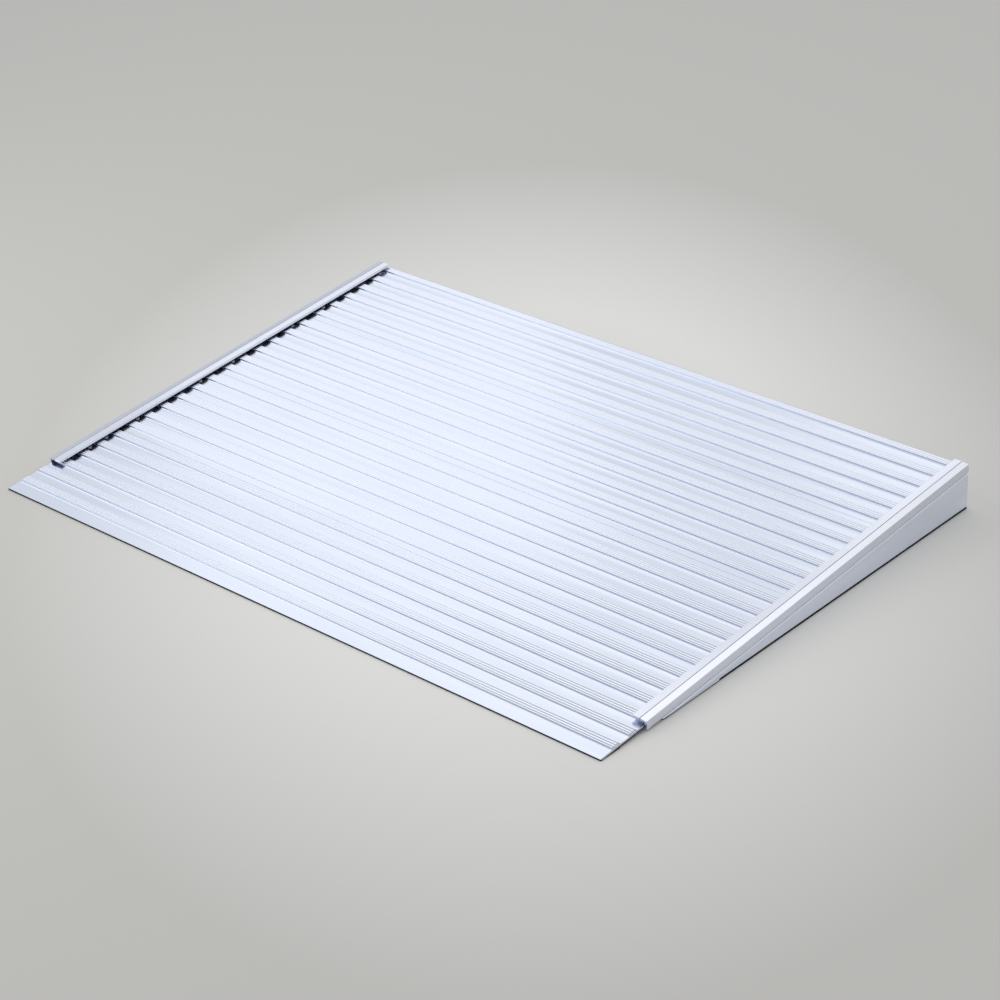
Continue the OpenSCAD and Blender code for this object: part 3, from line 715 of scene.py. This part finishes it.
def end_cuts(deck, trim, drawn, material):
    """What the bevel and the rubber's seat take off the nose plank's two ends."""
    top, half = deck.rib_height, deck.width / 2
    seat_end = trim_low(deck, trim) - STRIP_PLAY
    seat = [
        (reach(deck, STRIP, -FLOOR), -FLOOR, 0), (seat_end, -FLOOR, 0),
        (seat_end, -EDGE, 0), (reach(deck, STRIP, -EDGE), -EDGE, 0)]
    bevel = [
        (half - END_BEVEL_WIDTH, top), (half, top - END_BEVEL_DEPTH), (half + OVER, top - END_BEVEL_DEPTH),
        (half + OVER, top + OVER), (half - END_BEVEL_WIDTH, top + OVER)]
    high = joint_places(deck)[0] + LAP_WIDTH + OVER
    cuts = []
    for side in (-1, 1):
        cut = new_object("end_bevel", outline_mesh("end_bevel", [(side * x, v, 0) for x, v in bevel]))
        run_tree(cut, drawn, Length=high + OVER, Corner_steps=1, Material=material)
        place_along(cut, deck, high)
        cuts.append(cut)
        cut = new_object("strip_seat", outline_mesh("strip_seat", seat))
        run_tree(cut, drawn, Length=2 * END_STRIP_WIDTH, Corner_steps=1, Material=material)
        place_across(cut, deck, 2 * END_STRIP_WIDTH)
        cut.data.transform(Matrix.Translation((side * half, 0, 0)))
        cuts.append(cut)
    for cut in cuts:
        shade(cut)
    return cuts


class RAMP_OT_planks(bpy.types.Operator):
    """Draw the four ribbed planks, with their webs, heel and apron"""
    bl_idname = "ramp.planks"
    bl_label = "Planks"

    def execute(self, context):
        sizes = context.scene.ramp_deck
        material = deck_finish(sizes, context.scene.ramp_colours)
        ribbed = plank_tree()
        drawn = section_tree()
        joints = joint_places(sizes)
        rib = rib_points(sizes, 0, sizes.grooves) + valley_points(sizes)
        rib.append((sizes.rib_pitch, 0, ROOT_ROUND))
        rib_object = new_object("rib_outline", outline_mesh("rib_outline", rib, closed=False))
        web_length = sizes.width - 2 * WEB_CUT
        webs = [web_points(u) for u in web_places(sizes)]
        planks = [
            ("nose_plank", nose_outline(sizes), 0, NOSE_LEAD, [heel_points(sizes)]),
            ("lower_plank", middle_outline(sizes), joints[0], PLANK_LEAD, webs),
            ("upper_plank", middle_outline(sizes), joints[1], PLANK_LEAD, webs),
            ("top_plank", top_outline(sizes), joints[2], PLANK_LEAD, webs[:-1] + [apron_points(sizes)])]
        for node, outline, start, lead, below in planks:
            mesh = outline_mesh(node, shifted(outline, start), closed=False)
            plank = new_object(f"{node}_ribbed", mesh)
            run_tree(
                plank, ribbed, Rib=rib_object, Rib_count=sizes.ribs - 1,
                First_rib=(start + lead, 0, 0), Rib_pitch=(sizes.rib_pitch, 0, 0),
                Length=sizes.width, Corner_steps=PLANK_STEPS, Material=material)
            place_across(plank, sizes, sizes.width)
            legs = []
            for points in below:
                leg = new_object("leg", outline_mesh("leg", shifted(points, start)))
                run_tree(leg, drawn, Length=web_length, Corner_steps=PLANK_STEPS, Material=material)
                place_across(leg, sizes, web_length)
                legs.append(leg)
            combine(plank, legs, "UNION")
            if node == "nose_plank":
                combine(plank, end_cuts(sizes, context.scene.ramp_trim, drawn, material), "DIFFERENCE")
            shade(plank)
            dress(plank, node)
        drop(rib_object)
        return {"FINISHED"}


# Edge trims

def trim_points(deck, trim, side):
    """Channel round the plank ends: stepped inner edge, sloped outer band, outer leg and lower flange."""
    out = deck.width / 2 + trim.overhang
    inner = out - trim.width
    band = out - trim.band_width
    roof = deck.rib_height + trim.gap
    flat = roof + trim.wall
    bottom = -FLOOR - trim.wall
    fine = deck.edge_round
    points = [
        (inner, roof, fine), (inner, flat - trim.step_depth, fine),
        (inner + trim.step_width, flat - trim.step_depth, fine), (inner + trim.step_width, flat, fine),
        (band - trim.line_width, flat, GROOVE_ROUND),
        (band - trim.line_width / 2, flat - trim.line_depth, 0), (band, flat, GROOVE_ROUND),
        (out, flat - trim.band_drop, trim.band_round), (out, bottom, TRIM_FOOT_ROUND),
        (out - TRIM_LOW_WIDTH, bottom, fine), (out - TRIM_LOW_WIDTH, -FLOOR, fine),
        (out - trim.wall, -FLOOR, fine), (out - trim.wall, roof, fine)]
    return [(side * x, v, r) for x, v, r in points]


class RAMP_OT_edge_trims(bpy.types.Operator):
    """Draw the two channels that cap the plank ends"""
    bl_idname = "ramp.edge_trims"
    bl_label = "Edge trims"

    def execute(self, context):
        deck, trim = context.scene.ramp_deck, context.scene.ramp_trim
        material = trim_finish(deck, trim, context.scene.ramp_colours)
        drawn = section_tree()
        low = trim_low(deck, trim)
        high = deck_length(deck) - TRIM_BACK
        for name, side in (("left", -1), ("right", 1)):
            node = f"{name}_edge_trim"
            mesh = outline_mesh(node, trim_points(deck, trim, side))
            piece = new_object(f"{node}_channel", mesh)
            run_tree(piece, drawn, Length=high - low, Corner_steps=TRIM_STEPS, Material=material)
            place_along(piece, deck, high)
            shade(piece)
            dress(piece, node)
        return {"FINISHED"}


# Side panels, frame and rubber

def soften_nodes(nodes, ending, radius, material):
    """Makes softened copies of solids and puts them in their places."""
    for node in nodes:
        piece = softened(node, f"{node}_{ending}", radius, material)
        dress(piece, node)


class RAMP_OT_side_panels(bpy.types.Operator):
    """Make the two tapered side panels of folded sheet"""
    bl_idname = "ramp.side_panels"
    bl_label = "Side panels"

    def execute(self, context):
        material = panel_finish(context.scene.ramp_colours)
        soften_nodes(["left_side_panel", "right_side_panel"], "sheet", PANEL_ROUND, material)
        return {"FINISHED"}


class RAMP_OT_underside(bpy.types.Operator):
    """Make the stringers, the rear beam and the clips below the deck"""
    bl_idname = "ramp.underside"
    bl_label = "Underside frame"

    def execute(self, context):
        material = frame_finish(context.scene.ramp_colours)
        sides = ("left", "centre", "right")
        nodes = [f"{side}_{kind}" for kind in ("stringer", "clips") for side in sides] + ["rear_beam"]
        soften_nodes(nodes, "metal", FRAME_ROUND, material)
        return {"FINISHED"}


class RAMP_OT_rubber(bpy.types.Operator):
    """Make the rubber strips and edgings that the ramp stands on"""
    bl_idname = "ramp.rubber"
    bl_label = "Rubber"

    def execute(self, context):
        material = rubber_and_shadow_finish(context.scene.ramp_colours)
        nodes = ["nose_strip", "heel_strip", "rear_sole"]
        nodes += [f"{side}_panel_{kind}" for kind in ("seal", "sole") for side in ("left", "right")]
        nodes += [f"{side}_stringer_sole" for side in ("left", "centre", "right")]
        soften_nodes(nodes, "rubber", RUBBER_ROUND, material)
        return {"FINISHED"}


# Rivets

def loose_parts(mesh):
    """Point lists of a solid's separate parts."""
    work = bmesh.new()
    work.from_mesh(mesh)
    bmesh.ops.remove_doubles(work, verts=work.verts, dist=SOLID_WELD)
    seen = set()
    parts = []
    for start in work.verts:
        if start in seen:
            continue
        part = {start}
        edge = {start}
        while edge:
            edge = {e.other_vert(v) for v in edge for e in v.link_edges} - part
            part |= edge
        seen |= part
        parts.append([v.co.copy() for v in part])
    work.free()
    return parts


def measured(points, turn):
    """Foot and extent of a rivet whose axis is the third column of a turn."""
    inward = turn.transposed()
    local = [inward @ p for p in points]
    low = Vector(min(p[i] for p in local) for i in range(3))
    high = Vector(max(p[i] for p in local) for i in range(3))
    middle = (low + high) / 2
    return turn @ Vector((middle.x, middle.y, low.z)), high - low


def rivet_turn(node, points, slope):
    """Turn from a rivet's own axis to its place: square to the deck, to the rear, or across the ramp."""
    if "edge" in node or "stringer" in node:
        return Matrix.Rotation(slope, 3, "X")
    rear = Matrix.Rotation(-math.pi / 2, 3, "X")
    across = Matrix.Rotation(math.pi / 2, 3, "Y")
    if "clip" in node and measured(points, across)[1].z > measured(points, rear)[1].z:
        return across
    return rear


def rivet_rows(node, slope):
    """Feet of a node's rivets, gathered by their axis and length."""
    rows = {}
    for points in loose_parts(frame["nodes"][node].data):
        turn = rivet_turn(node, points, slope)
        foot, extent = measured(points, turn)
        length = round(extent.z, LENGTH_DIGITS)
        rows.setdefault((turn.col[2].copy().freeze(), length), []).append(foot)
    return rows


def dome(radius, height, base, way):
    """Half outline of a domed head, from its rim to its crown."""
    rim = height * RIM_SHARE
    points = []
    for i in range(DOME_STEPS + 1):
        angle = math.pi / 2 * i / DOME_STEPS
        points.append((radius * math.cos(angle), base + way * (rim + (height - rim) * math.sin(angle))))
    return points


def rivet_mesh(length, shank, head, tail, height, closed):
    """Rivet along +Z from its head's crown, with a domed or a flush far end."""
    outline = dome(head, height, height, -1)[::-1] + [(head, height), (shank, height)]
    if closed:
        neck = length - height
        outline += [(shank, neck), (tail, neck)] + dome(tail, height, neck, 1)
    else:
        outline += [(shank, length), (0, length)]
    work = bmesh.new()
    ring = [work.verts.new((r, 0, z)) for r, z in outline]
    edges = [work.edges.new(pair) for pair in zip(ring, ring[1:])]
    bmesh.ops.spin(work, geom=ring + edges, cent=(0, 0, 0), axis=(0, 0, 1), angle=math.tau,
                   steps=RIVET_SIDES, use_merge=True)
    bmesh.ops.remove_doubles(work, verts=work.verts, dist=SOLID_WELD)
    mesh = bpy.data.meshes.new("rivet")
    work.to_mesh(mesh)
    work.free()
    return mesh


def joined(pieces):
    """One piece from several."""
    first = pieces[0]
    work = bmesh.new()
    for piece in pieces:
        work.from_mesh(piece.data)
    work.to_mesh(first.data)
    work.free()
    for piece in pieces[1:]:
        drop(piece)
    return first


class RAMP_OT_rivets(bpy.types.Operator):
    """Set a domed rivet in the place of each plain one"""
    bl_idname = "ramp.rivets"
    bl_label = "Rivets"

    def execute(self, context):
        sizes = context.scene.ramp_rivet
        material = rivet_painted_shade_finish(context.scene.ramp_colours)
        placed = rivet_tree()
        large = (sizes.shank, sizes.head, sizes.tail, sizes.head_height)
        small = (sizes.clip_shank, sizes.clip_head, sizes.clip_head, sizes.clip_height)
        for node in [name for name in frame["nodes"] if name.endswith("_rivets")]:
            shape = small if node == "clip_rivets" else large
            closed = "apron" not in node and "corner" not in node
            pieces = []
            for (axis, length), feet in rivet_rows(node, context.scene.ramp_deck.slope).items():
                rivet = new_object("rivet", rivet_mesh(length, *shape, closed))
                mesh = bpy.data.meshes.new(f"{node}_row")
                mesh.from_pydata(feet, [], [])
                axes = mesh.attributes.new("axis", "FLOAT_VECTOR", "POINT")
                axes.data.foreach_set("vector", list(axis) * len(feet))
                row = new_object(f"{node}_domed{len(pieces) or ''}", mesh)
                pieces.append(run_tree(row, placed, Rivet=rivet, Material=material))
                drop(rivet)
            piece = joined(pieces)
            shade(piece)
            dress(piece, node)
        return {"FINISHED"}


# Finishes

def new_finish(name):
    """A material with its node tree and shader."""
    material = bpy.data.materials.new(name)
    material.use_nodes = True
    tree = material.node_tree
    return material, tree, tree.nodes["Principled BSDF"]


def own_place(tree):
    """The piece's own coordinates."""
    return tree.nodes.new("ShaderNodeTexCoord").outputs["Object"]


def grain(tree, scale, detail):
    """Noise on the piece's own coordinates, with one scale for each axis in cells per metre."""
    stretch = add_node(tree, "ShaderNodeMapping", {"Vector": own_place(tree), "Scale": scale})
    noise = add_node(tree, "ShaderNodeTexNoise", {
        "Vector": stretch.outputs["Vector"], "Scale": 1.0, "Detail": detail, "Roughness": NOISE_ROUGH})
    return noise.outputs["Fac"]


def ranged(tree, value, low, high, start=NOISE_LOW, end=NOISE_HIGH):
    """Maps a value from the range start to end, which suits a noise, to the range low to high."""
    span = add_node(tree, "ShaderNodeMapRange", {
        "Value": value, "From Min": start, "From Max": end, "To Min": low, "To Max": high})
    return span.outputs["Result"]


def facing(tree, vector, way):
    """Length of a vector along a direction."""
    part = add_node(tree, "ShaderNodeVectorMath", {0: vector, 1: way}, operation="DOT_PRODUCT")
    return part.outputs["Value"]


def worked_out(tree, operation, *terms):
    """Result of an operation on sockets and plain numbers."""
    result = add_node(tree, "ShaderNodeMath", dict(enumerate(terms)), operation=operation)
    return result.outputs["Value"]


def tinted(tree, factor, first, second):
    """Blends two tones, each a colour or a socket, by a factor that varies over the surface."""
    mix = add_node(tree, "ShaderNodeMix", {"Factor": factor, "A": first, "B": second}, data_type="RGBA")
    return mix.outputs["Result"]


def scaled(colour, share):
    return tuple(c * share for c in colour)


def relief(tree, height, distance):
    """Normal of a surface with fine relief."""
    bump = add_node(tree, "ShaderNodeBump", {"Height": height, "Distance": distance, "Strength": 1.0})
    return bump.outputs["Normal"]


def line_grain(tree, cells, streak, detail):
    """Noise drawn out along the axes that a streak is marked to follow."""
    along, across = cells
    return grain(tree, [along if follows else across for follows in streak], detail)


def draw_metal(tree, shader, colour, dull, streak):
    """Makes a shader metal with fine die lines. Gives its streaked tone and the lines."""
    broad = line_grain(tree, STREAK_CELLS, streak, STREAK_DETAIL)
    lines = line_grain(tree, DIE_LINE_CELLS, streak, DIE_LINE_DETAIL)
    feed(tree, shader, {"Metallic": 1.0, "Normal": relief(tree, lines, DIE_LINE_DEPTH)})
    return tinted(tree, ranged(tree, broad, 0, 1), dull, colour), lines


def lined_rough(tree, lines, roughness):
    """Roughness that the die lines vary a little."""
    return ranged(tree, lines, roughness - ROUGH_SPREAD, roughness + ROUGH_SPREAD)


def drawn_metal(name, colour, dull, streak, roughness):
    """Aluminium with soft dull streaks and fine die lines."""
    material, tree, shader = new_finish(name)
    tone, lines = draw_metal(tree, shader, colour, dull, streak)
    feed(tree, shader, {"Base Color": tone, "Roughness": lined_rough(tree, lines, roughness)})
    return material


def deck_finish(sizes, colours):
    """Drawn aluminium with rougher, less blue rib tops and grime on the walls of their grooves."""
    material, tree, shader = new_finish("deck_aluminium")
    tone, _ = draw_metal(tree, shader, colours.deck, colours.deck_dull, (True, False, False))
    origin = deck_origin(sizes)
    normal = origin.col[2].to_3d()
    base = origin.translation.dot(normal)
    top = base + sizes.rib_height
    height = facing(tree, own_place(tree), normal)
    crest = ranged(tree, height, 0, 1, *(base + sizes.rib_height * share for share in CREST_FADE))
    # Painted shade: the up-facing walls of the fine grooves, below the rib tops, turn to the groove colour
    # the deeper they go
    below = ranged(tree, height, 0, 1, top, top - sizes.groove_depth)
    upward = facing(tree, tree.nodes.new("ShaderNodeNewGeometry").outputs["True Normal"], normal)
    wall = worked_out(tree, "COMPARE", upward, WALL_FACING, WALL_PLAY)
    painted_groove_shade = worked_out(tree, "MULTIPLY", below, wall)
    tone = tinted(tree, crest, tone, colours.crest)
    tone = tinted(tree, painted_groove_shade, tone, colours.groove)
    roughness = ranged(tree, crest, DECK_ROUGH, CREST_ROUGH, 0, 1)
    feed(tree, shader, {"Base Color": tone, "Roughness": roughness})
    return material


def trim_finish(deck, trim, colours):
    """Drawn aluminium with grime in the fine groove along the band."""
    material, tree, shader = new_finish("trim_aluminium")
    tone, lines = draw_metal(tree, shader, colours.trim, colours.trim_dull, (False, True, True))
    # Painted shade: the fine groove along the band turns to a darker share of the groove colour
    half = trim.line_width / 2
    middle = deck.width / 2 + trim.overhang - trim.band_width - half
    parts = add_node(tree, "ShaderNodeSeparateXYZ", {"Vector": own_place(tree)})
    out = worked_out(tree, "ABSOLUTE", parts.outputs["X"])
    line = worked_out(tree, "COMPARE", out, middle, half)
    tone = tinted(tree, line, tone, scaled(colours.groove, TRIM_LINE_PAINTED_SHADE))
    feed(tree, shader, {"Base Color": tone, "Roughness": lined_rough(tree, lines, TRIM_ROUGH)})
    return material


def panel_finish(colours):
    dull = scaled(colours.panel, PANEL_DULL)
    return drawn_metal("panel_aluminium", colours.panel, dull, (False, True, False), PANEL_ROUGH)


def frame_finish(colours):
    dull = scaled(colours.frame, FRAME_DULL)
    return drawn_metal("frame_aluminium", colours.frame, dull, (False, True, False), FRAME_ROUGH)


# Painted shade: the rivets' aluminium is much darker than the deck's, so heads in the shadowed gap under
# the trims stay dark
def rivet_painted_shade_finish(colours):
    dull = scaled(colours.rivet, RIVET_DULL)
    return drawn_metal("rivet_aluminium", colours.rivet, dull, (False, False, False), RIVET_ROUGH)


def rubber_and_shadow_finish(colours):
    """Matt black rubber with a fine speckle."""
    material, tree, shader = new_finish("sole_rubber")
    speckle = grain(tree, SPECKLE_CELLS, SPECKLE_DETAIL)
    shades = [scaled(colours.rubber, share) for share in RUBBER_SHADES]
    feed(tree, shader, {
        "Base Color": tinted(tree, ranged(tree, speckle, 0, 1), *shades),
        "Roughness": ranged(tree, speckle, *RUBBER_ROUGH), "Specular IOR Level": RUBBER_GLOSS,
        "Normal": relief(tree, speckle, SPECKLE_DEPTH)})
    return material


def floor_painted_light_finish(colours, stage):
    """Pale floor with a bright pool round the ramp."""
    material, tree, shader = new_finish("studio_floor")
    # Painted light: brighter floor colour in an oval round the ramp, dimming with distance
    pool = add_node(tree, "ShaderNodeMapping", {
        "Vector": own_place(tree), "Location": stage.painted_light_pool_place, "Rotation": (0, 0, stage.camera_turn),
        "Scale": (1, stage.painted_light_pool_stretch, 1)}, vector_type="TEXTURE")
    away = add_node(tree, "ShaderNodeVectorMath", {0: pool.outputs["Vector"]}, operation="LENGTH")
    fade = ranged(tree, away.outputs["Value"], 0, 1, *stage.pool)
    feed(tree, shader, {
        "Base Color": tinted(tree, fade, colours.floor, colours.floor_past_painted_light),
        "Roughness": FLOOR_ROUGH, "Specular IOR Level": FLOOR_GLOSS})
    return material


# Stage

def add_floor(colours, stage):
    half = FLOOR_HALF
    corners = [(-half, -half, 0), (half, -half, 0), (half, half, 0), (-half, half, 0)]
    mesh = bpy.data.meshes.new("floor")
    mesh.from_pydata(corners, [], [(0, 1, 2, 3)])
    mesh.materials.append(floor_painted_light_finish(colours, stage))
    new_object("floor", mesh)


def add_softbox(name, place, target, size, power):
    lamp = bpy.data.lights.new(name, "AREA")
    lamp.shape = "RECTANGLE"
    lamp.size, lamp.size_y = size
    lamp.energy = power
    box = bpy.data.objects.new(name, lamp)
    box.visible_camera = False
    bpy.context.scene.collection.objects.link(box)
    box.location = place
    box.rotation_mode = "QUATERNION"
    box.rotation_quaternion = (Vector(target) - Vector(place)).to_track_quat("-Z", "Y")


def add_camera(stage):
    turn, tilt, roll = stage.camera_turn, stage.camera_tilt, stage.camera_roll
    back = Vector((math.sin(turn) * math.cos(tilt), -math.cos(turn) * math.cos(tilt), math.sin(tilt)))
    level_right = Vector((math.cos(turn), math.sin(turn), 0))
    level_up = back.cross(level_right)
    right = math.cos(roll) * level_right + math.sin(roll) * level_up
    up = back.cross(right)
    lens = bpy.data.cameras.new("camera")
    lens.lens = stage.camera_lens
    lens.sensor_width = SENSOR_WIDTH
    camera = bpy.data.objects.new("camera", lens)
    bpy.context.scene.collection.objects.link(camera)
    camera.matrix_world = Matrix.Translation(stage.camera_place) @ Matrix(
        (right, up, back)).transposed().to_4x4()
    bpy.context.scene.camera = camera


def light_room(stage):
    """Soft light that is full overhead and behind the ramp, and dim low down in front."""
    world = bpy.data.worlds.new("room")
    world.use_nodes = True
    tree = world.node_tree
    way = tree.nodes.new("ShaderNodeTexCoord").outputs["Generated"]
    share = ranged(tree, facing(tree, way, ROOM_WAY), 0, 1, *ROOM_FADE)
    feed(tree, tree.nodes["Background"], {"Color": tinted(tree, share, stage.dim_sky, stage.sky)})
    bpy.context.scene.world = world


class RAMP_OT_stage(bpy.types.Operator):
    """Set the floor, the lamps, the room's light and the camera"""
    bl_idname = "ramp.stage"
    bl_label = "Stage"

    def execute(self, context):
        stage = context.scene.ramp_stage
        add_floor(context.scene.ramp_colours, stage)
        light_room(stage)
        for name, (place, target, size) in SOFTBOXES.items():
            add_softbox(f"{name}_softbox", place, target, size, getattr(stage, f"{name}_power"))
        add_camera(stage)
        context.scene.view_settings.view_transform = "Standard"
        return {"FINISHED"}


class RAMP_PT_panel(bpy.types.Panel):
    """Sizes, colours and buttons of the ramp"""
    bl_idname = "RAMP_PT_panel"
    bl_label = "Threshold ramp"
    bl_space_type = "VIEW_3D"
    bl_region_type = "UI"
    bl_category = "Ramp"

    def draw(self, context):
        layout = self.layout
        for operator in OPERATORS:
            layout.operator(operator.bl_idname)
        for group in GROUPS:
            settings = getattr(context.scene, group)
            column = layout.column(heading=settings.__doc__)
            for key in settings.__annotations__:
                column.prop(settings, key)


OPERATORS = (RAMP_OT_planks, RAMP_OT_edge_trims, RAMP_OT_side_panels, RAMP_OT_underside, RAMP_OT_rubber,
             RAMP_OT_rivets, RAMP_OT_stage)
GROUPS = {
    "ramp_deck": RampDeckSizes,
    "ramp_trim": RampTrimSizes,
    "ramp_rivet": RampRivetSizes,
    "ramp_colours": RampColours,
    "ramp_stage": RampStage,
}


def register():
    for kind in (*GROUPS.values(), *OPERATORS, RAMP_PT_panel):
        bpy.utils.register_class(kind)
    for name, group in GROUPS.items():
        setattr(bpy.types.Scene, name, PointerProperty(type=group))


def unregister():
    for name in GROUPS:
        delattr(bpy.types.Scene, name)
    for kind in (RAMP_PT_panel, *OPERATORS, *GROUPS.values()):
        bpy.utils.unregister_class(kind)


def main():
    register()
    bpy.ops.ramp.planks()
    bpy.ops.ramp.edge_trims()
    bpy.ops.ramp.side_panels()
    bpy.ops.ramp.underside()
    bpy.ops.ramp.rubber()
    bpy.ops.ramp.rivets()
    bpy.ops.ramp.stage()


if __name__ == "__main__":
    main()
